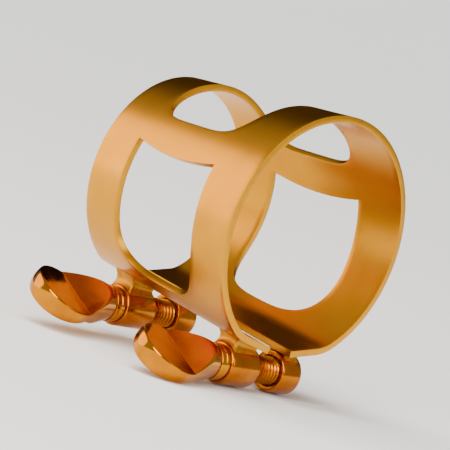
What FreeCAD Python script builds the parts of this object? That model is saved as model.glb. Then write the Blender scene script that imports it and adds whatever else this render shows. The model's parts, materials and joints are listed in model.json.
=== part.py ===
import FreeCAD, Part
import math
import os

import Sketcher

# Saxophone ligature: a tapered sheet-metal band with three windows, two pairs of
# barrels brazed under its reed side, and two thumb screws that draw the pairs together.
#
# Frame: +X along the bore, from the small front edge to the large rear edge.
#        +Z away from the reed, so the screws lie lowest.
#        -Y is the side the thumb screw heads are on.
#        The origin is the centre of the small front edge, on the bore's axis.

DIMENSIONS = [
    # alias, value in mm or degrees, what it is
    ("band_length", 23.0, "length of the band along the bore"),
    ("front_radius", 11.6, "outside radius of the band at its front edge"),
    ("rear_radius", 13.6, "outside radius of the band at its rear edge"),
    ("sheet", 0.75, "thickness of the band's sheet"),
    ("round_angle", 150.0, "angle from the top at which the round band meets the reed plates"),
    ("plate_slope", 11.0, "how far the reed plates lean from level, in degrees"),
    ("half_gap", 1.8, "half the gap between the two reed plates"),
    ("window_front", 4.7, "front edge of the windows, from the band's front edge"),
    ("window_rear", 17.2, "rear edge of the windows, from the band's front edge"),
    ("top_window_angle", 52.0, "angle from the top to the top window's edge at mid length"),
    ("side_window_top", 71.8, "angle from the top to the side window's upper edge at mid length"),
    ("side_window_smile", 3.3, "how far that edge climbs to its corners, in degrees"),
    ("side_window_sides", 108.0, "angle at which the side window's straight sides start to turn in"),
    ("side_window_foot", 140.0, "angle from the top to the side window's lower edge"),
    ("side_window_splay", 0.7, "how much further back the side window's rear edge runs at its foot"),
    ("front_screw_x", 4.05, "front screw, distance from the front edge"),
    ("front_screw_z", -13.8, "front screw, height against the bore's axis"),
    ("rear_screw_x", 20.65, "rear screw, distance from the front edge"),
    ("rear_screw_z", -14.9, "rear screw, height against the bore's axis"),
    ("barrel_radius", 2.25, "outside radius of the barrels"),
    ("barrel_chamfer", 0.3, "chamfer round the barrels' ends"),
    ("plain_length", 4.5, "length of the plain barrels, on the head side"),
    ("threaded_length", 3.0, "length of the threaded barrels, on the far side"),
    ("plain_bore", 1.55, "radius of the plain barrels' bore, a running fit on the shank"),
    ("threaded_bore", 1.7, "radius of the threaded barrels' bore, outside the thread's crest"),
    ("saddle_width", 3.2, "width of the brazed saddles along the bore"),
    ("saddle_inset", 0.3, "how far the saddles stop short of the barrels' ends"),
    ("shank_radius", 1.5, "radius of the screw shank over its thread"),
    ("shank_chamfer", 0.5, "chamfer on the shank's far end"),
    ("shank_past", 1.0, "how far the shank stands out of the threaded barrel"),
    ("shank_seat", 1.8, "how deep the shank is pressed into the head"),
    ("collar_radius", 2.0, "radius of the collar between barrel and head"),
    ("collar_length", 1.3, "thickness of the collar"),
    ("collar_chamfer", 0.2, "chamfer round the collar"),
    ("turning_gap", 0.05, "running gap between the collar and the plain barrel"),
    ("head_base", 1.9, "radius of the head where it meets the collar"),
    ("head_radius", 3.75, "radius of the head's rounded end"),
    ("head_middle", 6.5, "height of that rounding's centre above the head's base"),
    ("grip_crease", 4.9, "height above the head's base of the crease between a grip's two facets"),
    ("grip_web", 0.5, "half the thickness left between the creases"),
    ("grip_heel", 0.9, "height above the head's base at which the inner facet runs out"),
    ("grip_heel_reach", 2.2, "distance of the inner facet from the screw's axis at its heel"),
    ("grip_tip", 10.3, "height above the head's base at which the outer facet's lean is measured"),
    ("grip_tip_reach", 1.2, "distance of the outer facet from the screw's axis at that height"),
    ("grip_turn", 27.0, "turn of the grip's creases from the bore's direction, in degrees"),
]

ALIASES = {alias for alias, _, _ in DIMENSIONS}
STATIONS = {"front": "front_screw", "rear": "rear_screw"}
WINDOW_CORNER = 5.0  # power of the curve that rounds the top window: 2 is an oval, more is squarer
FOOT_CORNER = 3.0  # the same for the lower corners of the side windows
OUTSIDE = 1.0  # how far the window cuts start outside the sheet
SPLINE_POINTS = 40  # points that carry a window's curved outline

doc = FreeCAD.newDocument("Ligature")


def make_sheet():
    sheet = doc.addObject("Spreadsheet::Sheet", "Dims")
    for row, (alias, value, note) in enumerate(DIMENSIONS, start=1):
        sheet.set(f"A{row}", alias)
        sheet.set(f"B{row}", str(value))
        sheet.setAlias(f"B{row}", alias)
        sheet.set(f"C{row}", note)
    doc.recompute()
    return sheet


DIMS = make_sheet()


def dim(alias):
    return float(DIMS.get(alias))


def linked(text):
    """The expression with every alias pointed at the spreadsheet."""
    return " ".join("Dims." + word if word in ALIASES else word for word in text.split())


def measure(text):
    """The value of a sum of aliases and numbers such as "barrel_radius - barrel_chamfer"."""
    total, sign = 0.0, 1.0
    for word in text.split():
        if word in ("+", "-"):
            sign = 1.0 if word == "+" else -1.0
        else:
            total += sign * (dim(word) if word in ALIASES else float(word))
    return total


# ---------------------------------------------------------------- the band


def outside_radius(x):
    slope = (dim("rear_radius") - dim("front_radius")) / dim("band_length")
    return dim("front_radius") + slope * x


def on_band(x, angle, lift=0.0):
    """The point at x along the bore and this many degrees from the top, lifted off the sheet's outside."""
    radius = outside_radius(x) + lift
    turn = math.radians(angle)
    return FreeCAD.Vector(x, -radius * math.sin(turn), radius * math.cos(turn))


def round_band():
    """The tapered sheet, rolled from one reed plate over the top to the other."""
    length = dim("band_length")
    corners = [on_band(0, 0), on_band(length, 0), on_band(length, 0, -dim("sheet")), on_band(0, 0, -dim("sheet"))]
    profile = Part.Face(Part.makePolygon(corners + corners[:1]))
    axis = FreeCAD.Vector(1, 0, 0)
    centre = FreeCAD.Vector(0, 0, 0)
    profile.rotate(centre, axis, -dim("round_angle"))
    return profile.revolve(centre, axis, 2 * dim("round_angle"))


def plate_edge(x, side, lift, from_centre):
    """A point on a reed plate's outer or inner face, this far from the centre plane."""
    start = on_band(x, dim("round_angle"), lift)
    fall = (abs(start.y) - from_centre) * math.tan(math.radians(dim("plate_slope")))
    return FreeCAD.Vector(x, side * from_centre, start.z - fall)


def flat_solid(front, rear):
    """A solid with flat faces between two quadrilaterals with matching corners."""
    faces = [Part.Face(Part.makePolygon(quad + quad[:1])) for quad in (front, rear)]
    for i in range(4):
        k = (i + 1) % 4
        faces.append(Part.Face(Part.makePolygon([front[i], front[k], rear[k], rear[i], front[i]])))
    solid = Part.makeSolid(Part.makeShell(faces))
    if solid.Volume < 0:
        solid.reverse()
    return solid


def reed_plate(side):
    """One flattened end of the sheet, which presses on the reed: side is -1 under the heads, +1 opposite."""
    ends = []
    for x in (0.0, dim("band_length")):
        outer = on_band(x, dim("round_angle"))
        inner = on_band(x, dim("round_angle"), -dim("sheet"))
        ends.append(
            [
                FreeCAD.Vector(x, side * abs(outer.y), outer.z),
                plate_edge(x, side, 0.0, dim("half_gap")),
                plate_edge(x, side, -dim("sheet"), dim("half_gap")),
                FreeCAD.Vector(x, side * abs(inner.y), inner.z),
            ]
        )
    return flat_solid(*ends)


def top_window():
    """The wide window over the top: one closed curve, flat along its sides and rounded at its corners."""
    middle = (dim("window_front") + dim("window_rear")) / 2
    reach = (dim("window_rear") - dim("window_front")) / 2
    outline = []
    for step in range(SPLINE_POINTS):
        turn = 2 * math.pi * step / SPLINE_POINTS
        along, across = math.cos(turn), math.sin(turn)
        size = (abs(along) ** WINDOW_CORNER + abs(across) ** WINDOW_CORNER) ** (-1 / WINDOW_CORNER)
        outline.append((middle + reach * size * along, dim("top_window_angle") * size * across))
    return [outline + outline[:1]]


def side_window(side):
    """A window in the side: a curved upper edge between two sharp corners, and a rounded foot."""
    front, rear = dim("window_front") + 0.2, dim("window_rear") - 0.1
    middle, reach = (front + rear) / 2, (rear - front) / 2
    top, smile = dim("side_window_top"), dim("side_window_smile")
    upper = []
    for step in range(9):
        across = step / 4 - 1
        upper.append((middle + reach * across, top - smile * across**2))
    foot = []
    bend = dim("side_window_foot") - dim("side_window_sides")
    for step in range(SPLINE_POINTS // 2 + 1):
        turn = math.pi * step / (SPLINE_POINTS // 2)
        along, down = math.cos(turn), math.sin(turn)
        size = (abs(along) ** FOOT_CORNER + down**FOOT_CORNER) ** (-1 / FOOT_CORNER)
        angle = dim("side_window_sides") + bend * size * down
        splay = dim("side_window_splay") * (1 + size * along) / 2
        foot.append((middle + reach * size * along + splay, angle))
    edges = [upper, [upper[-1], foot[0]], foot, [foot[-1], upper[0]]]
    return [[(x, side * angle) for x, angle in edge] for edge in edges]


def window_wall(edges):
    """The stamped edge of a window: a wall through the sheet, square to it, along each stretch of the outline."""
    faces = []
    for edge in edges:
        rails = []
        for lift in (OUTSIDE, -dim("sheet") - OUTSIDE):
            points = [on_band(x, angle, lift) for x, angle in edge]
            curve = Part.BSplineCurve()
            closed = len(edges) == 1
            curve.interpolate(points[:-1] if closed else points, PeriodicFlag=closed)
            rails.append(curve.toShape())
        faces.append(Part.makeRuledSurface(*rails))
    return Part.makeShell(faces)


def make_band():
    """The sheet is cut along each window's wall, and the slugs that fall out are left away."""
    blank = round_band().fuse([reed_plate(-1), reed_plate(1)]).removeSplitter()
    walls = [window_wall(edges) for edges in (top_window(), side_window(1), side_window(-1))]
    pieces = blank.generalFuse(walls)[0]
    band = doc.addObject("Part::Feature", "band")
    band.Shape = max(pieces.Solids, key=lambda solid: solid.Volume)
    return band


# ---------------------------------------------------------------- turned pieces


def origin_plane(body, role):
    return next(feature for feature in body.Origin.OriginFeatures if feature.Role == role)


def hold_vertex(sketch, vertex, direction, text):
    """Drive one coordinate of an outline's corner from the spreadsheet, or pin it to the axis."""
    if text == "0":
        axis = -2 if direction == "DistanceX" else -1
        sketch.addConstraint(Sketcher.Constraint("PointOnObject", vertex, 1, axis))
        return
    index = sketch.addConstraint(Sketcher.Constraint(direction, -1, 1, vertex, 1, measure(text)))
    sketch.setExpression(f"Constraints[{index}]", linked(text))


def turned(name, outline):
    """A piece turned on a lathe: a closed outline of (radius, height) sums, spun about its own Y axis."""
    body = doc.addObject("PartDesign::Body", name)
    sketch = body.newObject("Sketcher::SketchObject", name + "_outline")
    sketch.AttachmentSupport = [(origin_plane(body, "XY_Plane"), "")]
    sketch.MapMode = "FlatFace"
    corners = [FreeCAD.Vector(measure(radius), measure(height), 0) for radius, height in outline]
    for start, end in zip(corners, corners[1:] + corners[:1]):
        sketch.addGeometry(Part.LineSegment(start, end), False)
    for edge in range(len(corners)):
        following = (edge + 1) % len(corners)
        sketch.addConstraint(Sketcher.Constraint("Coincident", edge, 2, following, 1))
    for vertex, (radius, height) in enumerate(outline):
        hold_vertex(sketch, vertex, "DistanceX", radius)
        hold_vertex(sketch, vertex, "DistanceY", height)
    spin = body.newObject("PartDesign::Revolution", name + "_turning")
    spin.Profile = sketch
    spin.ReferenceAxis = (sketch, ["V_Axis"])
    spin.Angle = 360
    sketch.Visibility = False
    return body


def place(piece, station, side, from_centre, turn=0.0):
    """Set a turned piece on its screw's axis, with its height growing away from the centre plane."""
    where = FreeCAD.Vector(dim(STATIONS[station] + "_x"), side * from_centre, dim(STATIONS[station] + "_z"))
    facing = FreeCAD.Rotation(FreeCAD.Vector(0, 0, 1), 180 if side < 0 else 0)
    about = FreeCAD.Rotation(FreeCAD.Vector(0, 1, 0), turn)
    piece.Placement = FreeCAD.Placement(where, about * facing)


def barrel(station, kind, side):
    bore, length = kind + "_bore", kind + "_length"
    outline = [
        (bore, "0"),
        ("barrel_radius - barrel_chamfer", "0"),
        ("barrel_radius", "barrel_chamfer"),
        ("barrel_radius", f"{length} - barrel_chamfer"),
        ("barrel_radius - barrel_chamfer", length),
        (bore, length),
    ]
    piece = turned(f"{station}_{kind}_barrel", outline)
    place(piece, station, side, dim("half_gap"))
    return piece


def saddle(station, kind, side):
    """The brazed foot between a barrel and its reed plate, hollowed to the barrel and trimmed to the plate."""
    name = f"{station}_{kind}_saddle"
    x, z = dim(STATIONS[station] + "_x"), dim(STATIONS[station] + "_z")
    near = dim("half_gap") + dim("saddle_inset")
    far_end = dim("half_gap") + dim(kind + "_length")
    far = far_end - dim("saddle_inset")
    block = doc.addObject("Part::Box", name + "_block")
    block.setExpression("Length", linked("saddle_width"))
    block.setExpression("Width", f"Dims.{kind}_length - 2 * Dims.saddle_inset")
    block.setExpression("Height", "2 * Dims.barrel_radius")
    block.Placement.Base = FreeCAD.Vector(x - dim("saddle_width") / 2, near if side > 0 else -far, z)
    round_seat = doc.addObject("Part::Cylinder", name + "_seat")
    round_seat.setExpression("Radius", linked("barrel_radius"))
    round_seat.setExpression("Height", linked(kind + "_length"))
    along_y = FreeCAD.Rotation(FreeCAD.Vector(1, 0, 0), 90)  # the seat then grows towards -Y
    start = far_end if side > 0 else -dim("half_gap")
    round_seat.Placement = FreeCAD.Placement(FreeCAD.Vector(x, start, z), along_y)
    hollow = doc.addObject("Part::Cut", name + "_hollowed")
    hollow.Base, hollow.Tool = block, round_seat
    plate_side = doc.addObject("Part::Feature", name + "_plate_side")
    plate_side.Shape = above_plate(side)
    piece = doc.addObject("Part::Cut", name)
    piece.Base, piece.Tool = hollow, plate_side
    return piece


def above_plate(side):
    """Everything on the reed's side of a reed plate's outer face, as one large flat-sided solid."""
    tall = 4 * dim("barrel_radius")
    ends = []
    for x in (0.0, dim("band_length")):
        low = plate_edge(x, side, 0.0, 0.0)
        high = plate_edge(x, side, 0.0, dim("front_radius"))
        rise = FreeCAD.Vector(0, 0, tall)
        ends.append([low, high, high + rise, low + rise])
    return flat_solid(*ends)


# ---------------------------------------------------------------- the thumb screws


def screw_seat():
    """Distance from the centre plane to the face of the collar that bears on the plain barrel."""
    return dim("half_gap") + dim("plain_length") + dim("turning_gap")


def collar(station):
    outline = [
        ("shank_radius", "0"),
        ("collar_radius - collar_chamfer", "0"),
        ("collar_radius", "collar_chamfer"),
        ("collar_radius", "collar_length"),
        ("shank_radius", "collar_length"),
    ]
    piece = turned(f"{station}_screw_collar", outline)
    place(piece, station, -1, screw_seat())
    return piece


def shank(station):
    """The threaded rod, from its far end to its seat inside the head."""
    far_end = dim("half_gap") + dim("threaded_length") + dim("shank_past")
    reach = "shank_past + threaded_length + half_gap + half_gap + plain_length + turning_gap"
    reach += " + collar_length + shank_seat"
    outline = [
        ("0", "0"),
        ("shank_radius - shank_chamfer", "0"),
        ("shank_radius", "shank_chamfer"),
        ("shank_radius", reach),
        ("0", reach),
    ]
    piece = turned(f"{station}_screw_shank", outline)
    place(piece, station, -1, -far_end)
    return piece


def head_cone():
    """Height, length and end radius of the cone that runs from the head's base onto its rounded end."""
    base, ball, middle = dim("head_base"), dim("head_radius"), dim("head_middle")
    far = math.hypot(base, middle)
    lean = math.asin(ball / far) - math.atan2(base, middle)
    run = math.sqrt(far**2 - ball**2)
    return run * math.cos(lean), base + run * math.sin(lean)


def run_on(start, end):
    """The point as far beyond end as end is from start, so that a facet cuts right through the metal."""
    return tuple(2 * last - first for first, last in zip(start, end))


def grip_notch(name, side):
    """The wedge of metal milled off one face of a head, with two facets that meet in a crease."""
    wide = 3 * dim("head_radius")
    crease = (dim("grip_web"), dim("grip_crease"))
    heel = run_on(crease, (dim("grip_heel_reach"), dim("grip_heel")))
    tip = run_on(crease, (dim("grip_tip_reach"), dim("grip_tip")))
    outline = [crease, heel, (wide, heel[1]), (wide, tip[1]), tip]
    corners = [FreeCAD.Vector(-wide / 2, height, side * reach) for reach, height in outline]
    notch = doc.addObject("Part::Feature", name)
    notch.Shape = Part.Face(Part.makePolygon(corners + corners[:1])).extrude(FreeCAD.Vector(wide, 0, 0))
    return notch


def head(station):
    """A pear-shaped thumb piece with a creased grip milled into each face, so that it ends in a blade."""
    name = f"{station}_screw_head"
    height, reach = head_cone()
    upright = FreeCAD.Rotation(FreeCAD.Vector(1, 0, 0), -90)  # a primitive's own axis then points along +Y
    neck = doc.addObject("Part::Cone", name + "_neck")
    neck.setExpression("Radius1", linked("head_base"))
    neck.Radius2, neck.Height = reach, height
    neck.Placement.Rotation = upright
    ball = doc.addObject("Part::Sphere", name + "_ball")
    ball.setExpression("Radius", linked("head_radius"))
    ball.Placement = FreeCAD.Placement(FreeCAD.Vector(0, dim("head_middle"), 0), upright)
    pear = doc.addObject("Part::Fuse", name + "_pear")
    pear.Base, pear.Tool = neck, ball
    seat = doc.addObject("Part::Cylinder", name + "_seat")
    seat.setExpression("Radius", linked("shank_radius"))
    seat.setExpression("Height", linked("shank_seat"))
    seat.Placement.Rotation = upright
    over, under = grip_notch(name + "_notch_over", 1), grip_notch(name + "_notch_under", -1)
    piece = pear
    for stage, tool in ((name + "_seated", seat), (name + "_half_milled", over), (name, under)):
        cut = doc.addObject("Part::Cut", stage)
        cut.Base, cut.Tool = piece, tool
        piece = cut
    place(piece, station, -1, screw_seat() + dim("collar_length"), dim("grip_turn"))
    return piece


# ---------------------------------------------------------------- build and write


def make_pieces():
    pieces = [make_band()]
    for station in STATIONS:
        for kind, side in (("plain", -1), ("threaded", 1)):
            pieces.append(barrel(station, kind, side))
            pieces.append(saddle(station, kind, side))
        pieces.append(shank(station))
        pieces.append(collar(station))
        pieces.append(head(station))
    return pieces


def write(piece):
    piece.Label = piece.Name
    if any(state in piece.State for state in ("Invalid", "Error")):
        raise RuntimeError(f"{piece.Label} did not build: {piece.State}")
    if piece.Shape.isNull() or not piece.Shape.isValid() or not piece.Shape.Solids:
        raise RuntimeError(f"{piece.Label} has no sound solid")
    piece.Shape.exportStep(f"parts/{piece.Label}.step")
    box = piece.Shape.BoundBox
    print(f"{piece.Label:26s} {piece.Shape.Volume:9.2f} mm3, solids {len(piece.Shape.Solids)},"
          f" y {box.YMin:7.2f} {box.YMax:7.2f}, z {box.ZMin:7.2f} {box.ZMax:7.2f}")


PIECES = make_pieces()
doc.recompute()
os.makedirs("parts", exist_ok=True)
for made in PIECES:
    write(made)
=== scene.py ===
# %% [markdown]
# # A saxophone ligature
# A ligature is the metal band that holds a reed against a mouthpiece. This one is a tapered brass
# band with three windows, four small barrels brazed along its split, and two thumb screws that
# draw the split together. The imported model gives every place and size, and the lesson models each
# piece again at those places with the detail that the real one has.

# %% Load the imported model
import json
import math

import bpy
from mathutils import Matrix, Vector

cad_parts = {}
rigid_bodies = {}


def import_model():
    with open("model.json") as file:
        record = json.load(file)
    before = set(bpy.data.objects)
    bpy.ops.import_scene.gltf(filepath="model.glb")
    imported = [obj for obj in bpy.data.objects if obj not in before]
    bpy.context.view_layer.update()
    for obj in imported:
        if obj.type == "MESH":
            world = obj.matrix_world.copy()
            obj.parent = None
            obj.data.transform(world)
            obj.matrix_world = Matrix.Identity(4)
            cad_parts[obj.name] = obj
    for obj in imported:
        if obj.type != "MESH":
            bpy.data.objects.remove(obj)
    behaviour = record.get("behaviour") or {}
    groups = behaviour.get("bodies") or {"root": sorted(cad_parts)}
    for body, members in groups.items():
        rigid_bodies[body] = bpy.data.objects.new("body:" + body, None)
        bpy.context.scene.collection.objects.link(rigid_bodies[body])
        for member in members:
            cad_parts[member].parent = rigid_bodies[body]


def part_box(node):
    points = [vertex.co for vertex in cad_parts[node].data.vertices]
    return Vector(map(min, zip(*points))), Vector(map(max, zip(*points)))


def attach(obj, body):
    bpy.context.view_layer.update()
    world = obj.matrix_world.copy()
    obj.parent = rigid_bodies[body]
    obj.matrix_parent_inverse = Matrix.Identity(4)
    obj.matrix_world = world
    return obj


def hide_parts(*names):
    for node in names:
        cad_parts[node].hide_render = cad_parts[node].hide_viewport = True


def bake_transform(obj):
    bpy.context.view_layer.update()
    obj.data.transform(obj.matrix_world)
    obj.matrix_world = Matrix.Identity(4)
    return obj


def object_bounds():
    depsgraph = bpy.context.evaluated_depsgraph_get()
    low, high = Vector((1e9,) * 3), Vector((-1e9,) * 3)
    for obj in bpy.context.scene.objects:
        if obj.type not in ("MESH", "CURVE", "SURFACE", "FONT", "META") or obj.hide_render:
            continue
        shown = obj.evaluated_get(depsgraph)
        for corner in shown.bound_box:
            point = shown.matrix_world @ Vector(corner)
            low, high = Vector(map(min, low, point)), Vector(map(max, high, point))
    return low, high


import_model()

CAD_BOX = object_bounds()
MM = 0.001
STATIONS = ("front", "rear")
print("CAD box in mm:", [[round(value / MM, 2) for value in corner] for corner in CAD_BOX])

# %% [markdown]
# ## Small helpers
# An operator acts on everything that is selected, and the loaded nodes start selected. So each
# piece begins by clearing the selection, and one helper puts a piece alone in edit mode.
# The place of each screw's axis is read from its plain barrel, because the screw runs through it.

# %% Modelling helpers
SMOOTH_BELOW = math.radians(40)  # edges flatter than this are shaded smooth
END_FACING = 0.95  # an end face's normal has more than this along the screw's axis
TURNED_SIDES = 96  # sides of a barrel or collar


def alone(piece):
    """Selects this piece and nothing else, and makes it the active one."""
    if bpy.context.mode != "OBJECT":
        bpy.ops.object.mode_set(mode="OBJECT")
    for other in bpy.context.view_layer.objects:
        other.select_set(False)
    if piece is not None:
        piece.select_set(True)
        bpy.context.view_layer.objects.active = piece


def edit(piece, select="SELECT"):
    """Opens this piece in edit mode, with all of it selected or none of it."""
    alone(piece)
    bpy.ops.object.mode_set(mode="EDIT")
    bpy.ops.mesh.select_mode(type="VERT")
    bpy.ops.mesh.select_all(action=select)


def close_edit():
    bpy.ops.object.mode_set(mode="OBJECT")
    return bpy.context.object


def new_primitive(operator, name, **settings):
    alone(None)
    operator(**settings)
    piece = bpy.context.object
    piece.name = piece.data.name = name
    return piece


def set_place(piece):
    """Puts the object's place, turn and size into its mesh, so that the object sits at the origin."""
    alone(piece)
    bpy.ops.object.transform_apply(location=True, rotation=True, scale=True)


def apply_modifier(piece, kind, **settings):
    alone(piece)
    modifier = piece.modifiers.new(kind.title(), kind)
    for key, value in settings.items():
        setattr(modifier, key, value)
    bpy.ops.object.modifier_apply(modifier=modifier.name)


def weld(piece, gap=0.002 * MM):
    """Merges doubles and turns every face outwards."""
    edit(piece)
    bpy.ops.mesh.remove_doubles(threshold=gap)
    bpy.ops.mesh.normals_make_consistent(inside=False)
    close_edit()


def soften(piece, width, corner, segments=3):
    """Rounds the edges that turn by more than corner, and shades the rest smooth."""
    apply_modifier(piece, "BEVEL", width=width, segments=segments, limit_method="ANGLE",
                   angle_limit=corner)
    alone(piece)
    bpy.ops.object.shade_smooth_by_angle(angle=SMOOTH_BELOW)


def turned_blank(name, low, high):
    """A cylinder that fills a box and lies along the screw's axis, before it is drilled."""
    blank = new_primitive(
        bpy.ops.mesh.primitive_cylinder_add, name, vertices=TURNED_SIDES, radius=(high.z - low.z) / 2,
        depth=high.y - low.y, location=(low + high) / 2, rotation=(math.pi / 2, 0, 0),
    )
    set_place(blank)
    return blank


def drill(blank, wall):
    """Insets both ends by the wall's thickness and bridges the inner faces, which opens a bore."""
    edit(blank, "DESELECT")
    bpy.ops.mesh.select_mode(type="FACE")
    bpy.ops.object.mode_set(mode="OBJECT")
    for face in blank.data.polygons:
        face.select = abs(face.normal.y) > END_FACING
    bpy.ops.object.mode_set(mode="EDIT")
    bpy.ops.mesh.inset(thickness=wall, use_individual=True)
    bpy.ops.mesh.bridge_edge_loops()
    close_edit()
    weld(blank)


def copy_of(piece, name, offset):
    """A copy with its own mesh, moved by offset."""
    twin = bpy.data.objects.new(name, piece.data.copy())
    twin.data.name = name
    twin.data.transform(Matrix.Translation(offset))
    bpy.context.scene.collection.objects.link(twin)
    return twin


def screw_axis(station):
    """The point where a screw's axis crosses the centre plane of the ligature."""
    low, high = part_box(f"{station}_plain_barrel")
    return Vector(((low.x + high.x) / 2, 0, (low.z + high.z) / 2))


AXIS = {station: screw_axis(station) for station in STATIONS}
TO_REAR = AXIS["rear"] - AXIS["front"]
print("from the front screw to the rear one, in mm:", [round(value / MM, 2) for value in TO_REAR])

# %% [markdown]
# ## Colours and nodes
# Colours are written as the sRGB values that a paint program shows, and one function turns them
# into the linear values that shaders use. One more function adds any node, sets its values and
# links whatever sockets it is given.

# %% Colour and node helpers


def linear(colour):
    """An sRGB colour such as "D9A04A" as linear red, green, blue and alpha."""
    channels = [int(colour[start:start + 2], 16) / 255 for start in (0, 2, 4)]
    return [c / 12.92 if c <= 0.04045 else ((c + 0.055) / 1.055) ** 2.4 for c in channels] + [1.0]


def add_node(tree, kind, inputs=None, **settings):
    """Adds a node. An input that is a socket is linked, and any other value is set."""
    node = tree.nodes.new(kind)
    for key, value in settings.items():
        setattr(node, key, value)
    for socket, value in (inputs or {}).items():
        if isinstance(value, bpy.types.NodeSocket):
            tree.links.new(value, node.inputs[socket])
        else:
            node.inputs[socket].default_value = value
    return node


def start_material(name):
    material = bpy.data.materials.new(name)
    material.use_nodes = True
    shader = material.node_tree.nodes["Principled BSDF"]
    return material, material.node_tree, shader


def per_metre(size_mm):
    """The texture scale at which one feature is this many millimetres wide."""
    return 1 / (size_mm * MM)


def stretched_noise(tree, sizes_mm, detail=3.0):
    """Noise whose features have a different size along each axis, in millimetres."""
    place = add_node(tree, "ShaderNodeTexCoord")
    scaled = add_node(tree, "ShaderNodeMapping", {
        "Vector": place.outputs["Object"],
        "Scale": [per_metre(size) for size in sizes_mm],
    })
    return add_node(tree, "ShaderNodeTexNoise", {
        "Vector": scaled.outputs["Vector"], "Scale": 1.0, "Detail": detail,
    }).outputs["Fac"]


NOISE_SPAN = {"From Min": 0.3, "From Max": 0.7}  # where most of a noise texture's values lie

# %% [markdown]
# ## The finishes
# The band is brass sheet, brushed round its length and then lacquered. Brushing leaves fine lines
# that blur reflections across them, and the clear lacquer puts a second, sharper gloss on top. The
# lacquer rubs thin along the edges, where the metal shows paler.
# The screws and barrels are turned from brass rod and plated a redder gold. They are polished, so
# they mirror the room, with only faint rings from the lathe tool.
# The joints are brazed: the filler has flowed and set, so it is lumpy, duller and a little paler.

# %% Brushed and lacquered brass sheet


def lacquered_brass_sheet():
    material, tree, shader = start_material("brass_sheet_brushed_and_lacquered")
    brushing = stretched_noise(tree, (0.12, 9.0, 9.0), detail=1.5)  # real lines are finer and would not show
    cloud = stretched_noise(tree, (7.0, 7.0, 7.0), detail=2.0)
    speck = stretched_noise(tree, (0.9, 0.9, 0.9), detail=4.0)
    clouding = add_node(tree, "ShaderNodeMapRange", {"Value": cloud, **NOISE_SPAN})
    # a Mix node's typed sockets share their names, so they go by number: 0 is the share, 6 and 7 the colours
    tone = add_node(tree, "ShaderNodeMix", {
        0: clouding.outputs["Result"], 6: linear("D89400"), 7: linear("C98600"),
    }, data_type="RGBA")
    worn = add_node(tree, "ShaderNodeAttribute", attribute_name="wear")
    patches = add_node(tree, "ShaderNodeMapRange", {
        "Value": speck, **NOISE_SPAN, "To Min": 0.1, "To Max": 0.55,
    })
    rubbed = add_node(tree, "ShaderNodeMath", {
        0: worn.outputs["Fac"], 1: patches.outputs["Result"],
    }, operation="MULTIPLY")
    edge = add_node(tree, "ShaderNodeMix", {0: rubbed.outputs[0], 6: tone.outputs[2], 7: linear("DFA01C")},
                    data_type="RGBA")
    bump = add_node(tree, "ShaderNodeBump", {"Height": brushing, "Strength": 0.02, "Distance": 0.02 * MM})
    roughness = add_node(tree, "ShaderNodeMapRange", {
        "Value": brushing, **NOISE_SPAN, "To Min": 0.29, "To Max": 0.33,
    })
    tree.links.new(edge.outputs[2], shader.inputs["Base Color"])
    tree.links.new(roughness.outputs["Result"], shader.inputs["Roughness"])
    tree.links.new(bump.outputs["Normal"], shader.inputs["Normal"])
    shader.inputs["Metallic"].default_value = 1.0
    shader.inputs["Coat Weight"].default_value = 0.1
    shader.inputs["Coat Roughness"].default_value = 0.12
    return material


# %% Turned and plated brass


def turned_brass(name, ring_mm, rough_low, rough_high, deep, pale):
    """Polished brass from the lathe: the rings run round the screw's axis, which lies along Y."""
    material, tree, shader = start_material(name)
    rings = stretched_noise(tree, (5.0, ring_mm, 5.0), detail=2.0)
    stain = stretched_noise(tree, (2.2, 2.2, 2.2), detail=3.0)
    staining = add_node(tree, "ShaderNodeMapRange", {"Value": stain, **NOISE_SPAN})
    tone = add_node(tree, "ShaderNodeMix", {
        0: staining.outputs["Result"], 6: linear(deep), 7: linear(pale),
    }, data_type="RGBA")
    bump = add_node(tree, "ShaderNodeBump", {"Height": rings, "Strength": 0.05, "Distance": 0.01 * MM})
    roughness = add_node(tree, "ShaderNodeMapRange", {
        "Value": rings, **NOISE_SPAN, "To Min": rough_low, "To Max": rough_high,
    })
    tree.links.new(tone.outputs[2], shader.inputs["Base Color"])
    tree.links.new(roughness.outputs["Result"], shader.inputs["Roughness"])
    tree.links.new(bump.outputs["Normal"], shader.inputs["Normal"])
    shader.inputs["Metallic"].default_value = 1.0
    return material


# %% Brazing filler


def brazing_filler():
    material, tree, shader = start_material("brass_brazing_filler_as_flowed")
    lumps = stretched_noise(tree, (0.7, 0.7, 0.7), detail=4.0)
    lumping = add_node(tree, "ShaderNodeMapRange", {"Value": lumps, **NOISE_SPAN})
    tone = add_node(tree, "ShaderNodeMix", {
        0: lumping.outputs["Result"], 6: linear("AE6E08"), 7: linear("C68C20"),
    }, data_type="RGBA")
    bump = add_node(tree, "ShaderNodeBump", {"Height": lumps, "Strength": 0.25, "Distance": 0.06 * MM})
    roughness = add_node(tree, "ShaderNodeMapRange", {
        "Value": lumps, **NOISE_SPAN, "To Min": 0.26, "To Max": 0.44,
    })
    tree.links.new(tone.outputs[2], shader.inputs["Base Color"])
    tree.links.new(roughness.outputs["Result"], shader.inputs["Roughness"])
    tree.links.new(bump.outputs["Normal"], shader.inputs["Normal"])
    shader.inputs["Metallic"].default_value = 1.0
    return material


SHEET_FINISH = lacquered_brass_sheet()
BARREL_FINISH = turned_brass("brass_rod_turned_and_gold_plated", 0.16, 0.13, 0.22, "AC5C00", "BE6E00")
SCREW_FINISH = turned_brass("brass_screw_polished_and_gold_plated", 0.22, 0.08, 0.16, "B86C00", "CC8400")
THREAD_FINISH = turned_brass("brass_thread_cut_and_gold_plated", 0.12, 0.18, 0.30, "B06400", "C67800")
BRAZE_FINISH = brazing_filler()
FINISHES = (SHEET_FINISH, BARREL_FINISH, SCREW_FINISH, THREAD_FINISH, BRAZE_FINISH)
print("finishes:", [finish.name for finish in FINISHES])

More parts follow.
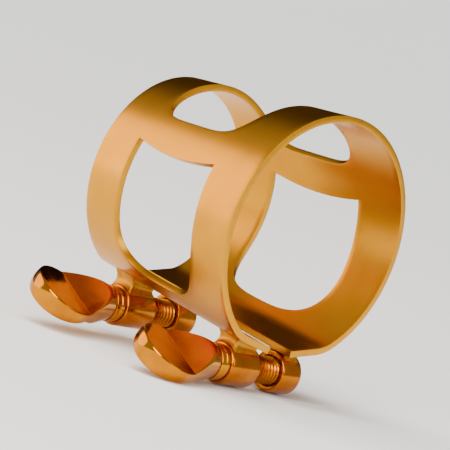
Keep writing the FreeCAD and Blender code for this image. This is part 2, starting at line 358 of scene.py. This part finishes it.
# %% [markdown]
# ## Handing a piece over
# A finished piece gets its finish, stands for its CAD node, and rides on that node's body.
# The band is the exception: it rides on no body.

# %% Handing over


def hand_over(piece, node, finish, body):
    piece.data.materials.clear()
    piece.data.materials.append(finish)
    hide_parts(node)
    if body is not None:
        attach(piece, body)
    print(f"{piece.name}: {len(piece.data.polygons)} faces, stands for {node}")


# %% [markdown]
# ## The band's sheet, laid flat
# The real band is stamped from flat sheet and then rolled. Cutting windows into a round mesh with
# booleans leaves slivers that spoil a smooth metal surface, so this lesson works like the press:
# it lays the sheet flat, frames every window with rings of four-sided faces, and rolls it up last.
# Flat, the sheet is measured along the bore in millimetres and round it in degrees from the top.
# The last 30 degrees on each side stand for the reed plate.

# %% Sizes of the band
BAND_LOW, BAND_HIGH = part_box("band")
LENGTH_MM = (BAND_HIGH.x - BAND_LOW.x) / MM
REAR_RADIUS_MM = BAND_HIGH.y / MM
FRONT_RADIUS_MM = 11.6
SHEET_MM = 0.75
HALF_GAP_MM = 1.8
ROUND_ANGLE = 150.0  # where the round band meets the reed plates
SPLIT_ANGLE = 180.0  # stands for the plates' edges along the split
PLATE_SLOPE = math.radians(11.0)
WINDOW_FRONT_MM, WINDOW_REAR_MM = 4.7, 17.2
TOP_WINDOW_ANGLE = 52.0
CELL_ANGLE = 62.0  # a line between the top window and the side windows
print(f"band {LENGTH_MM:.1f} mm long, {2 * REAR_RADIUS_MM:.1f} mm across at the rear")

# %% Outlines of the windows
MM_PER_DEGREE = 0.22  # round the sheet, half way along it
ALONG, ROUND_TOP, ROUND_SIDE = 28, 72, 52  # divisions along the bore and round each cell
FINE = 60  # points that a curve has before it is divided evenly
TOP_SQUARENESS, SIDE_SQUARENESS = 5.0, 3.0  # powers of the windows' rounded corners
SIDE_INSET_FRONT_MM, SIDE_INSET_REAR_MM = 0.2, 0.1  # the side windows are this much shorter at each end
SIDE_TOP_ANGLE, SIDE_SMILE_ANGLE = 71.8, 3.3  # their upper edge at mid length, and its rise at the corners
SIDE_STRAIGHT_TO, SIDE_FOOT_ANGLE = 108.0, 140.0  # straight ends down to one, the foot at the other
SIDE_SPLAY_MM = 0.7  # how far their rear end leans out
SMILE_STEPS = 20


def divided(points, count):
    """This polyline divided into count equal lengths, without its last point."""
    lengths = [0.0]
    for (x0, a0), (x1, a1) in zip(points, points[1:]):
        lengths.append(lengths[-1] + math.hypot(x1 - x0, (a1 - a0) * MM_PER_DEGREE))
    result, index = [], 0
    for step in range(count):
        target = lengths[-1] * step / count
        while lengths[index + 1] < target:
            index += 1
        share = (target - lengths[index]) / (lengths[index + 1] - lengths[index])
        (x0, a0), (x1, a1) = points[index], points[index + 1]
        result.append((x0 + share * (x1 - x0), a0 + share * (a1 - a0)))
    return result


def squared_round(turn, power):
    """A point on a curve between a circle and a square: power 2 is round, and more is squarer."""
    along, across = math.cos(turn), math.sin(turn)
    size = (abs(along) ** power + abs(across) ** power) ** (-1 / power)
    return size * along, size * across


def top_window_sides():
    """The top window in four stretches, from the rear corner on the + side, round by the front."""
    middle, reach = (WINDOW_FRONT_MM + WINDOW_REAR_MM) / 2, (WINDOW_REAR_MM - WINDOW_FRONT_MM) / 2
    sides = []
    for quarter in range(4):
        side = []
        for step in range(FINE + 1):
            turn = math.pi / 4 + math.pi / 2 * (quarter + step / FINE)
            along, across = squared_round(turn, TOP_SQUARENESS)
            side.append((middle + reach * along, TOP_WINDOW_ANGLE * across))
        sides.append(side)
    return sides


def side_window_sides():
    """A side window in four stretches: foot, front edge, upper edge with two sharp corners, rear edge."""
    front, rear = WINDOW_FRONT_MM + SIDE_INSET_FRONT_MM, WINDOW_REAR_MM - SIDE_INSET_REAR_MM
    middle, reach = (front + rear) / 2, (rear - front) / 2

    def foot_point(turn):
        along, down = squared_round(turn, SIDE_SQUARENESS)
        x = middle + reach * along + SIDE_SPLAY_MM * (1 + along) / 2
        return x, SIDE_STRAIGHT_TO + (SIDE_FOOT_ANGLE - SIDE_STRAIGHT_TO) * down

    def foot_run(start, end):
        return [foot_point(start + (end - start) * step / FINE) for step in range(FINE + 1)]

    corner = SIDE_TOP_ANGLE - SIDE_SMILE_ANGLE
    upper = []
    for step in range(SMILE_STEPS + 1):
        share = step / (SMILE_STEPS / 2) - 1
        upper.append((middle + reach * share, SIDE_TOP_ANGLE - SIDE_SMILE_ANGLE * share**2))
    return [
        foot_run(math.pi / 4, 3 * math.pi / 4),
        foot_run(3 * math.pi / 4, math.pi) + [(front, corner)],
        upper,
        [(rear, corner)] + foot_run(0, math.pi / 4),
    ]


def cell_sides(low, high):
    """The rectangle of sheet round a window, in the same order as the window's stretches."""
    return [[(LENGTH_MM, high), (0, high)], [(0, high), (0, low)], [(0, low), (LENGTH_MM, low)],
            [(LENGTH_MM, low), (LENGTH_MM, high)]]


def loop_of(sides, counts):
    return [point for side, count in zip(sides, counts) for point in divided(side, count)]


# %% Frame the windows with faces
RINGS_BETWEEN = 7
PLATE_ROWS = 14


def flat_loop(name, points):
    loop = new_primitive(bpy.ops.mesh.primitive_circle_add, name, vertices=len(points))
    for vertex, (x, angle) in zip(loop.data.vertices, points):
        vertex.co = (x, angle, 0)
    return loop


def window_frame(name, window, low, high, round_count, side=1):
    """The sheet round one window: its outline and the cell's, bridged by rings of faces."""
    counts = (ALONG, round_count, ALONG, round_count)
    loops = []
    for label, sides in (("outline", window), ("cell", cell_sides(low, high))):
        points = [(x, side * angle) for x, angle in loop_of(sides, counts)]
        loops.append(flat_loop(f"{name}_{label}", points))
    alone(loops[0])
    loops[1].select_set(True)
    bpy.ops.object.join()
    edit(loops[0])
    bpy.ops.mesh.bridge_edge_loops(type="SINGLE", number_cuts=RINGS_BETWEEN, interpolation="LINEAR")
    return close_edit()


def flat_plate(name, side):
    """The flat sheet of a reed plate, divided to match the cell beside it."""
    middle = side * (ROUND_ANGLE + SPLIT_ANGLE) / 2
    plate = new_primitive(bpy.ops.mesh.primitive_grid_add, name, x_subdivisions=ALONG,
                          y_subdivisions=PLATE_ROWS, size=1, location=(LENGTH_MM / 2, middle, 0))
    plate.scale = (LENGTH_MM, SPLIT_ANGLE - ROUND_ANGLE, 1)
    set_place(plate)
    return plate


flat_parts = [
    window_frame("top_cell", top_window_sides(), -CELL_ANGLE, CELL_ANGLE, ROUND_TOP),
    window_frame("head_side_cell", side_window_sides(), CELL_ANGLE, ROUND_ANGLE, ROUND_SIDE),
    window_frame("far_side_cell", side_window_sides(), CELL_ANGLE, ROUND_ANGLE, ROUND_SIDE, side=-1),
    flat_plate("head_side_plate", 1),
    flat_plate("far_side_plate", -1),
]
alone(flat_parts[0])
for part in flat_parts[1:]:
    part.select_set(True)
bpy.ops.object.join()
band = flat_parts[0]
band.name = band.data.name = "rolled_band"
print("flat sheet:", len(band.data.polygons), "faces")

# %% [markdown]
# ## Rolling the sheet
# Every point of the flat sheet has one place on the finished band: on the cone up to the reed
# plates, and on a straight slope beyond. A rolled sheet doesn't fold sharply, so the corner between
# the two is eased over about a millimetre on each side.

# %% Roll it up
EASE_ROUND, EASE_PLATE = 5.0, 7.0  # degrees of flat sheet that the bend takes on each side


def outside_radius_mm(x):
    return FRONT_RADIUS_MM + (REAR_RADIUS_MM - FRONT_RADIUS_MM) * x / LENGTH_MM


def round_place(x, angle):
    """Distance from the centre plane and height of a point on the cone's outside."""
    radius, turn = outside_radius_mm(x), math.radians(angle)
    return Vector((radius * math.sin(turn), radius * math.cos(turn)))


def plate_place(x, angle):
    """The same for a point on a reed plate's outside."""
    start = round_place(x, ROUND_ANGLE)
    share = (angle - ROUND_ANGLE) / (SPLIT_ANGLE - ROUND_ANGLE)
    from_centre = start.x + (HALF_GAP_MM - start.x) * share
    return Vector((from_centre, start.y - (start.x - from_centre) * math.tan(PLATE_SLOPE)))


def rolled_place(x, angle):
    size = abs(angle)
    ease = (size - ROUND_ANGLE + EASE_ROUND) / (EASE_ROUND + EASE_PLATE)
    if ease <= 0:
        place = round_place(x, size)
    elif ease >= 1:
        place = plate_place(x, size)
    else:
        before = round_place(x, ROUND_ANGLE - EASE_ROUND)
        corner = round_place(x, ROUND_ANGLE)
        after = plate_place(x, ROUND_ANGLE + EASE_PLATE)
        place = before * (1 - ease) ** 2 + corner * 2 * ease * (1 - ease) + after * ease**2
    return Vector((x, -math.copysign(place.x, angle), place.y)) * MM


for vertex in band.data.vertices:
    vertex.co = rolled_place(vertex.co.x, vertex.co.y)
weld(band, gap=0.01 * MM)
first = band.data.polygons[0]
if first.normal.dot(Vector((0, first.center.y, first.center.z))) < 0:
    edit(band)
    bpy.ops.mesh.flip_normals()
    close_edit()
print("rolled sheet:", [round(value / MM, 2) for value in band.dimensions], "mm")

# %% [markdown]
# ## Thickness and edges
# Solidify gives the sheet its gauge, inwards from the outside that was just laid out. A bevel then
# takes the sharpness off every stamped edge. The edges also get a value called wear, which is 1
# where the surface turns away from the sheet's faces, and the finish reads it.

# %% Thicken, deburr and mark the edges
EDGE_ROUND_MM = 0.13
WEAR_BELOW, WEAR_SPAN = 0.93, 0.35  # wear starts where a normal is less square to the sheet than this


def mark_wear(piece):
    wear = piece.data.attributes.new("wear", "FLOAT", "POINT")
    for vertex, value in zip(piece.data.vertices, wear.data):
        sideways = Vector((0, vertex.co.y, vertex.co.z)).normalized()
        facing = abs(vertex.normal.dot(sideways))
        value.value = min(1.0, max(0.0, (WEAR_BELOW - facing) / WEAR_SPAN))


apply_modifier(band, "SOLIDIFY", thickness=SHEET_MM * MM, offset=-1.0, use_even_offset=True)
soften(band, EDGE_ROUND_MM * MM, corner=math.radians(40))
mark_wear(band)
hand_over(band, "band", SHEET_FINISH, None)
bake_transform(band)

# %% [markdown]
# ## The barrels
# Each barrel is a short tube cut from rod, drilled through, and chamfered at its ends. A cylinder
# is given its bore the way a drill would: both ends are inset to the bore's edge, and bridging the
# two inner faces opens the hole. The bevel also eases the bore's edge, where the screw enters.

# %% Drill and chamfer the barrels
BORE_MM = {"plain": 1.55, "threaded": 1.6}  # the threaded one is measured to its thread's crests
CHAMFER_MM = {"plain": 0.26, "threaded": 0.2}


def drilled_barrel(kind):
    low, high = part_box(f"front_{kind}_barrel")
    barrel = turned_blank(f"front_{kind}_barrel_turned", low, high)
    drill(barrel, (high.z - low.z) / 2 - BORE_MM[kind] * MM)
    soften(barrel, CHAMFER_MM[kind] * MM, corner=math.radians(50))
    return barrel


for kind, body in (("plain", "head_side"), ("threaded", "thread_side")):
    front_barrel = drilled_barrel(kind)
    rear_barrel = copy_of(front_barrel, f"rear_{kind}_barrel_turned", TO_REAR)
    for station, barrel in zip(STATIONS, (front_barrel, rear_barrel)):
        hand_over(barrel, f"{station}_{kind}_barrel", BARREL_FINISH, body)

# %% [markdown]
# ## The brazed saddles
# A barrel touches the sheet only along a line, so a saddle of filler metal fills the space beside
# it. The filler creeps out over both surfaces as it flows, which leaves a waist in the middle. Each
# saddle starts as a divided block. Its rows are drawn in towards the waist, its foot is hollowed to
# sit inside the barrel's wall and clear of the bore, and its top follows the slope of the plate.

# %% Flow the saddles
SADDLE_CUTS = 9
FLARE_MM = 0.42  # how much wider the filler is at its ends than at its waist, on each side
WAIST_SHARE = 0.6  # the share of the flare that narrows the waist; the rest widens the ends
SADDLE_ROUND_MM = 0.3
INTO_SHEET_MM = 0.3  # how far the saddle runs into the sheet, so that no gap shows
HOLLOW_MM = 2.1  # radius of the saddle's hollow, between the barrel's bore and its outside


def plate_height(x, y):
    """Height of a reed plate's outside, in metres."""
    x_mm, from_centre = x / MM, abs(y) / MM
    start = round_place(x_mm, ROUND_ANGLE)
    return (start.y - (start.x - from_centre) * math.tan(PLATE_SLOPE)) * MM


def flowed_saddle(station, kind):
    low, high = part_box(f"{station}_{kind}_saddle")
    saddle = new_primitive(bpy.ops.mesh.primitive_cube_add, f"{station}_{kind}_saddle_brazed", size=1,
                           location=(low + high) / 2)
    saddle.scale = high - low
    set_place(saddle)
    edit(saddle)
    bpy.ops.mesh.subdivide(number_cuts=SADDLE_CUTS)
    close_edit()
    middle = (low + high) / 2
    for vertex in saddle.data.vertices:
        share = (vertex.co.z - low.z) / (high.z - low.z)
        creep = FLARE_MM * MM * ((2 * share - 1) ** 2 - WAIST_SHARE)
        for axis, reach in ((0, middle.x - low.x), (1, middle.y - low.y)):
            from_middle = vertex.co[axis] - middle[axis]
            vertex.co[axis] += creep * from_middle / reach
        top = plate_height(vertex.co.x, vertex.co.y) + INTO_SHEET_MM * MM
        beside = (vertex.co.x - AXIS[station].x) / MM
        foot = AXIS[station].z + math.sqrt(HOLLOW_MM**2 - beside**2) * MM
        vertex.co.z = foot + share * (top - foot)
    soften(saddle, SADDLE_ROUND_MM * MM, corner=math.radians(50), segments=4)
    apply_modifier(saddle, "SUBSURF", levels=1, render_levels=1)
    alone(saddle)
    bpy.ops.object.shade_smooth()
    return saddle


for station in STATIONS:
    for kind, body in (("plain", "head_side"), ("threaded", "thread_side")):
        saddle = flowed_saddle(station, kind)
        hand_over(saddle, f"{station}_{kind}_saddle", BRAZE_FINISH, body)

# %% [markdown]
# ## The threaded shank
# The thread is a real helix: one tooth of its profile is swept round the axis and climbs one pitch
# each turn, so the tooth's end meets the next one's start. The sweep is made too long, bisected at
# both ends and closed with flat faces, and the tip is drawn in a little, as a screw's lead is.

# %% Cut the thread
PITCH_MM, CREST_MM, ROOT_MM = 0.5, 1.5, 1.22
ROOT_FLAT_MM, FLANK_MM, CREST_FLAT_MM = 0.06, 0.16, 0.06  # along the screw; the root has a flat on both sides
TURN_STEPS = 48
SPARE_TURNS, TURNS_BEFORE = 4, 1.7  # turns swept beyond the shank, and how many of them come first
LEAD_MM, LEAD_DEPTH_MM = 0.5, 0.5


def threaded_shank():
    low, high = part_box("front_screw_shank")
    crest_start = ROOT_FLAT_MM + FLANK_MM
    crest_end = crest_start + CREST_FLAT_MM
    tooth = [(ROOT_MM, 0.0), (ROOT_MM, ROOT_FLAT_MM), (CREST_MM, crest_start), (CREST_MM, crest_end),
             (ROOT_MM, crest_end + FLANK_MM), (ROOT_MM, PITCH_MM)]
    mesh = bpy.data.meshes.new("front_screw_thread")
    mesh.from_pydata([(radius * MM, height * MM, 0) for radius, height in tooth],
                     [(i, i + 1) for i in range(len(tooth) - 1)], [])
    shank = bpy.data.objects.new("front_screw_thread", mesh)
    bpy.context.scene.collection.objects.link(shank)
    turns = math.ceil((high.y - low.y) / (PITCH_MM * MM)) + SPARE_TURNS
    apply_modifier(shank, "SCREW", axis="Y", angle=2 * math.pi, screw_offset=PITCH_MM * MM,
                   iterations=turns, steps=TURN_STEPS, render_steps=TURN_STEPS)
    start = low.y - TURNS_BEFORE * PITCH_MM * MM
    shank.data.transform(Matrix.Translation(AXIS["front"] + Vector((0, start, 0))))
    weld(shank)
    for end, outward in ((low.y, -1), (high.y, 1)):
        edit(shank)
        bpy.ops.mesh.bisect(plane_co=(0, end, 0), plane_no=(0, outward, 0), clear_outer=True)
        bpy.ops.mesh.select_all(action="SELECT")
        bpy.ops.mesh.fill_holes(sides=0)
        close_edit()
    draw_in_lead(shank, high.y)
    weld(shank)
    alone(shank)
    bpy.ops.object.shade_smooth_by_angle(angle=math.radians(25))
    return shank


def draw_in_lead(shank, tip):
    """Narrows the shank's end towards the tip."""
    for vertex in shank.data.vertices:
        into_lead = (vertex.co.y - (tip - LEAD_MM * MM)) / (LEAD_MM * MM)
        if into_lead > 0:
            off_axis = Vector((vertex.co.x, 0, vertex.co.z)) - Vector((AXIS["front"].x, 0, AXIS["front"].z))
            limit = (CREST_MM - LEAD_DEPTH_MM * into_lead) * MM
            if off_axis.length > limit:
                vertex.co -= off_axis * (1 - limit / off_axis.length)


front_thread = threaded_shank()
rear_thread = copy_of(front_thread, "rear_screw_thread", TO_REAR)
for station, thread in zip(STATIONS, (front_thread, rear_thread)):
    hand_over(thread, f"{station}_screw_shank", THREAD_FINISH, f"{station}_screw")

# %% [markdown]
# ## The collars
# The collar bears on the plain barrel. It is turned with a shallow groove round its middle, so it
# catches the light as two fine rings.

# %% Turn the collars
COLLAR_BORE_MM, COLLAR_ROUND_MM = 1.5, 0.1
GROOVE_MM, GROOVE_HALF_SHARE = 0.14, 0.08  # depth, and half its width as a share of the collar's
ON_MIDDLE = 0.01 * MM


def grooved_collar():
    low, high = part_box("front_screw_collar")
    centre = (low + high) / 2
    collar = turned_blank("front_screw_collar_turned", low, high)
    for height in (0.5 - GROOVE_HALF_SHARE, 0.5, 0.5 + GROOVE_HALF_SHARE):
        edit(collar)
        bpy.ops.mesh.bisect(plane_co=(0, low.y + (high.y - low.y) * height, 0), plane_no=(0, 1, 0))
        close_edit()
    for vertex in collar.data.vertices:
        if abs(vertex.co.y - centre.y) < ON_MIDDLE:
            off_axis = Vector((vertex.co.x - centre.x, 0, vertex.co.z - centre.z))
            vertex.co -= off_axis.normalized() * GROOVE_MM * MM
    drill(collar, (high.z - low.z) / 2 - COLLAR_BORE_MM * MM)
    soften(collar, COLLAR_ROUND_MM * MM, corner=math.radians(65))
    return collar


front_collar = grooved_collar()
rear_collar = copy_of(front_collar, "rear_screw_collar_turned", TO_REAR)
for station, collar in zip(STATIONS, (front_collar, rear_collar)):
    hand_over(collar, f"{station}_screw_collar", SCREW_FINISH, f"{station}_screw")

# %% [markdown]
# ## The thumb pieces
# A thumb piece is turned to a pear shape and then pressed between two dies, which give each face two
# flats that meet in a straight crease and leave a thin blade for thumb and finger. Cutting the flats
# with booleans leaves slivers along the rim, which a bevel tears. So the pear is spun finely, and its
# surface is pressed in to the dies. Near the rim the pear and the flat are blended, which rounds
# the edge as polishing does.

# %% Sizes of a thumb piece
HEAD_BASE_MM, HEAD_RADIUS_MM, HEAD_MIDDLE_MM = 1.9, 3.75, 6.5
CREASE_MM, HEEL_MM, TIP_MM = (0.5, 4.9), (2.2, 0.9), (1.2, 10.3)  # each is reach and height
BASE_CHAMFER_MM, POLISH_MM = 0.15, 0.34
GRIP_TURN = math.radians(27.0)
GRIP_ALONG = Vector((math.cos(GRIP_TURN), 0, -math.sin(GRIP_TURN)))
GRIP_ACROSS = Vector((math.sin(GRIP_TURN), 0, math.cos(GRIP_TURN)))
SPIN_STEPS, CONE_STEPS, END_STEPS = 220, 64, 84


def pear_profile():
    """Radius and height in mm of points from the head's base over its rounded end."""
    far = math.hypot(HEAD_BASE_MM, HEAD_MIDDLE_MM)
    lean = math.asin(HEAD_RADIUS_MM / far) - math.atan2(HEAD_BASE_MM, HEAD_MIDDLE_MM)
    arc = []
    for step in range(END_STEPS + 1):
        turn = -lean + (math.pi / 2 + lean) * step / END_STEPS
        arc.append((HEAD_RADIUS_MM * math.cos(turn), HEAD_MIDDLE_MM + HEAD_RADIUS_MM * math.sin(turn)))
    edge = (HEAD_BASE_MM + BASE_CHAMFER_MM * math.tan(lean), BASE_CHAMFER_MM)
    cone = []
    for step in range(CONE_STEPS):
        share = step / CONE_STEPS
        cone.append((edge[0] + (arc[0][0] - edge[0]) * share, edge[1] + (arc[0][1] - edge[1]) * share))
    return [(0.0, 0.0), (HEAD_BASE_MM - BASE_CHAMFER_MM, 0.0)] + cone + arc


def die_reach(height):
    """How far a die's face stands from the screw's axis at this height, in mm."""
    flats = []
    for reach, top in (HEEL_MM, TIP_MM):
        slope = (reach - CREASE_MM[0]) / (top - CREASE_MM[1])
        flats.append(CREASE_MM[0] + slope * (height - CREASE_MM[1]))
    return max(flats)


def polished_smaller(first, second):
    """The smaller of two distances, with the corner between them rounded off."""
    overlap = max(POLISH_MM - abs(first - second), 0.0)
    return min(first, second) - overlap**2 / (4 * POLISH_MM)


# %% Spin the pear and press the grip


def thumb_piece():
    base = Vector((AXIS["front"].x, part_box("front_screw_head")[1].y, AXIS["front"].z))
    profile = pear_profile()
    mesh = bpy.data.meshes.new("front_thumb_piece")
    places = [base + (GRIP_ALONG * radius + Vector((0, -height, 0))) * MM for radius, height in profile]
    mesh.from_pydata(places, [(i, i + 1) for i in range(len(profile) - 1)], [])
    pear = bpy.data.objects.new("front_thumb_piece", mesh)
    bpy.context.scene.collection.objects.link(pear)
    edit(pear)
    bpy.ops.mesh.spin(steps=SPIN_STEPS, angle=2 * math.pi, center=base, axis=(0, 1, 0))
    close_edit()
    weld(pear)
    for vertex in pear.data.vertices:
        across = (vertex.co - base).dot(GRIP_ACROSS) / MM
        pressed = polished_smaller(abs(across), die_reach((base.y - vertex.co.y) / MM))
        vertex.co += GRIP_ACROSS * (math.copysign(max(pressed, 0.0), across) - across) * MM
    alone(pear)
    bpy.ops.object.shade_smooth_by_angle(angle=SMOOTH_BELOW)
    return pear


front_head = thumb_piece()
rear_head = copy_of(front_head, "rear_thumb_piece", TO_REAR)
for station, head in zip(STATIONS, (front_head, rear_head)):
    hand_over(head, f"{station}_screw_head", SCREW_FINISH, f"{station}_screw")

# %% [markdown]
# ## The room
# Polished metal shows the room more than itself. In a wholly white room it looks flat, so this room
# is pale all round but for a dark part behind the object, which stands in for the black mouthpiece
# that such metal would mirror. Soft lights on three sides add broad highlights, and a wide overhead
# light keeps the floor pale.

# %% Camera
CAMERA_RIGHT = Vector((0.69136, 0.65499, 0.30497))
CAMERA_UP = Vector((-0.28623, -0.13927, 0.94799))
CAMERA_BACK = CAMERA_RIGHT.cross(CAMERA_UP)
LENS_MM, SENSOR_MM = 300.0, 36.0
FILL = 0.98  # share of the picture that the object takes

corners = [Vector((x, y, z)) for x in (CAD_BOX[0].x, CAD_BOX[1].x) for y in (CAD_BOX[0].y, CAD_BOX[1].y)
           for z in (CAD_BOX[0].z, CAD_BOX[1].z)]
CENTRE = (CAD_BOX[0] + CAD_BOX[1]) / 2
widest = max(max(abs((corner - CENTRE).dot(way)) for corner in corners) for way in (CAMERA_RIGHT, CAMERA_UP))
picture_width = 2 * widest / FILL
camera_data = bpy.data.cameras.new("camera")
camera_data.lens, camera_data.sensor_width = LENS_MM, SENSOR_MM
camera_data.clip_start, camera_data.clip_end = 0.01, 100.0
camera = bpy.data.objects.new("camera", camera_data)
bpy.context.scene.collection.objects.link(camera)
turn = Matrix((CAMERA_RIGHT, CAMERA_UP, CAMERA_BACK)).transposed().to_4x4()
camera.matrix_world = Matrix.Translation(CENTRE + CAMERA_BACK * picture_width * LENS_MM / SENSOR_MM) @ turn
bpy.context.scene.camera = camera
print(f"the picture is {picture_width / MM:.1f} mm wide")

# %% Floor and soft lights
FLOOR_SIZE = 60.0


def floor_finish():
    material, tree, shader = start_material("paper_sweep_matt")
    fibre = stretched_noise(tree, (0.6, 0.6, 0.6))
    tone = add_node(tree, "ShaderNodeMix", {0: fibre, 6: linear("F4F3F1"), 7: linear("F8F7F5")},
                    data_type="RGBA")
    tree.links.new(tone.outputs[2], shader.inputs["Base Color"])
    shader.inputs["Roughness"].default_value = 0.9
    return material


floor = new_primitive(bpy.ops.mesh.primitive_plane_add, "floor", size=FLOOR_SIZE,
                      location=(CENTRE.x, CENTRE.y, CAD_BOX[0].z))
set_place(floor)
floor.data.materials.append(floor_finish())


def soft_light(name, towards, distance, size, energy, colour):
    light_data = bpy.data.lights.new(name, "AREA")
    light_data.shape, light_data.size, light_data.energy = "DISK", size, energy
    light_data.color = linear(colour)[:3]
    light = bpy.data.objects.new(name, light_data)
    bpy.context.scene.collection.objects.link(light)
    way = Vector(towards).normalized()
    light.location = CENTRE + way * distance
    light.rotation_euler = (-way).to_track_quat("-Z", "Y").to_euler()


soft_light("key", (0.35, -0.85, 0.35), 0.30, 0.20, 0.7, "FFF6EA")
soft_light("fill", (1.0, 0.2, 0.4), 0.40, 0.25, 0.4, "FFFFFF")
soft_light("side", (-0.80, -0.52, 0.24), 0.30, 0.26, 0.58, "FFE6BE")

# %% Even light for the floor
SUN_STRENGTH, SUN_SPREAD = 4.0, math.radians(50)
SUN_LEAN = (math.radians(12), math.radians(-14), 0)
sun_data = bpy.data.lights.new("overhead", "SUN")
sun_data.energy, sun_data.angle = SUN_STRENGTH, SUN_SPREAD
sun = bpy.data.objects.new("overhead", sun_data)
bpy.context.scene.collection.objects.link(sun)
sun.rotation_euler = SUN_LEAN
sun.visible_glossy = False  # it lights the floor and leaves the metal's reflections to the soft lights

# %% The room's walls
ROOM_STRENGTH = 0.55
DARK_WALL = Vector((-0.62, 0.74, 0.24)).normalized()
DARK_FROM, DARK_WHOLLY = 0.55, 0.88  # cosines from DARK_WALL at which the dark begins and is full
world = bpy.data.worlds.new("studio")
bpy.context.scene.world = world
world.use_nodes = True
sky = world.node_tree.nodes["Background"]
way = add_node(world.node_tree, "ShaderNodeTexCoord")
facing_wall = add_node(world.node_tree, "ShaderNodeVectorMath", {0: way.outputs["Generated"], 1: DARK_WALL},
                       operation="DOT_PRODUCT")
wall = add_node(world.node_tree, "ShaderNodeMapRange", {
    "Value": facing_wall.outputs["Value"], "From Min": DARK_FROM, "From Max": DARK_WHOLLY,
}, interpolation_type="SMOOTHSTEP")
room = add_node(world.node_tree, "ShaderNodeMix", {0: wall.outputs["Result"], 6: linear("FBF8F4"),
                                                   7: linear("2E2218")}, data_type="RGBA")
world.node_tree.links.new(room.outputs[2], sky.inputs["Color"])
sky.inputs["Strength"].default_value = ROOM_STRENGTH
